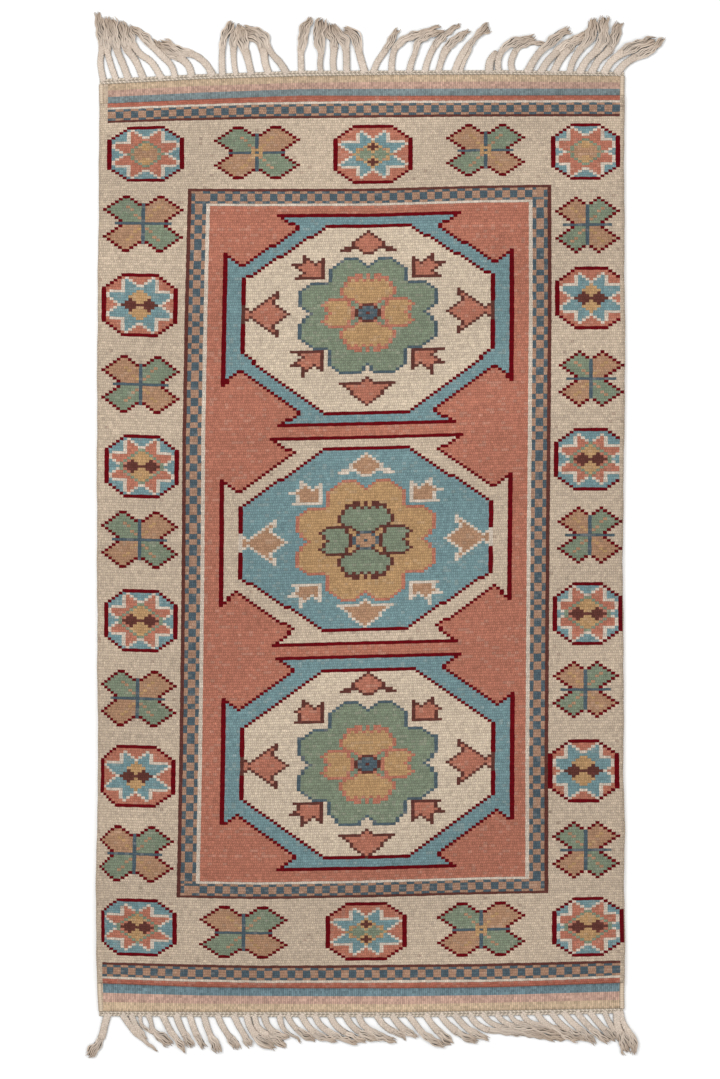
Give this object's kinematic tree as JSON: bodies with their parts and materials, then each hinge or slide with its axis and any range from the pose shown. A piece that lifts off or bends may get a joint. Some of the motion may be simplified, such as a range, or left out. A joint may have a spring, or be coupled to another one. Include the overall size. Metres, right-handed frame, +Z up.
{
  "type": "turkish rug",
  "caption": "Small hand-knotted wool rug with a medallion field, flat-woven ends, overcast sides and plaited fringe.",
  "frame": {"origin": "middle of the rug's flat underside, on the floor", "axes": "+Y along the rug's length to its top end, +X across its width, +Z up through the pile"},
  "size_m": [0.7745, 1.3961, 0.008],
  "materials": {
    "pile_wool": "matt hand-knotted wool pile",
    "edge_wool": "overcast wool yarn",
    "warp_yarn": "plaited and loose undyed warp yarn"
  },
  "bodies": {
    "root": {"woven_body": "pile_wool", "selvedge_left": "edge_wool", "selvedge_right": "edge_wool", "fringe_top": "warp_yarn", "fringe_bottom": "warp_yarn"}
  },
  "joints": []
}
